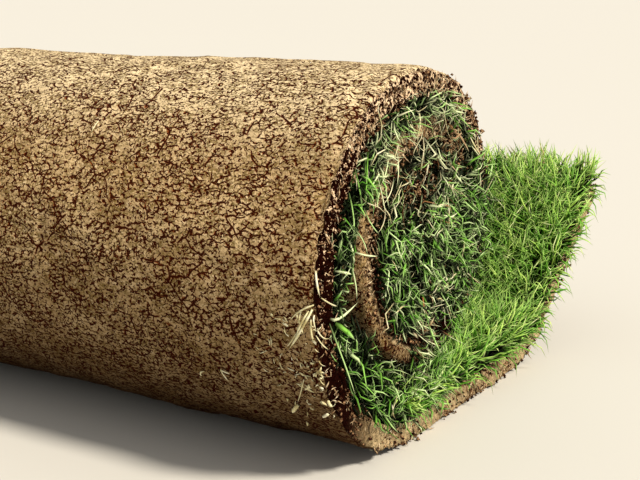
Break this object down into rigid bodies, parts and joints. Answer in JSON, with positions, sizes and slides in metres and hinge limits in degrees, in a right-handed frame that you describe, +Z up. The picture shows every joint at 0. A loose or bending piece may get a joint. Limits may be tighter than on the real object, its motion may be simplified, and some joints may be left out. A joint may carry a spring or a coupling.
{
  "type": "roll of turf",
  "caption": "Strip of turf rolled up soil side out, with spiral ends of soil and grass and its outer end lying open behind it.",
  "frame": {"origin": "on the ground, in the middle of the level stretch that the strip rests on", "axes": "+X along the roll, +Y from the roll towards the open end of the strip, +Z up"},
  "size_m": [0.41, 0.3809, 0.2],
  "materials": {
    "soil": "moist loamy soil held by roots, cut smooth, finely cracked",
    "grass": "fresh grass blades over pale thatch"
  },
  "bodies": {
    "root": {"root_mat": "soil", "sward": "grass"}
  },
  "joints": []
}
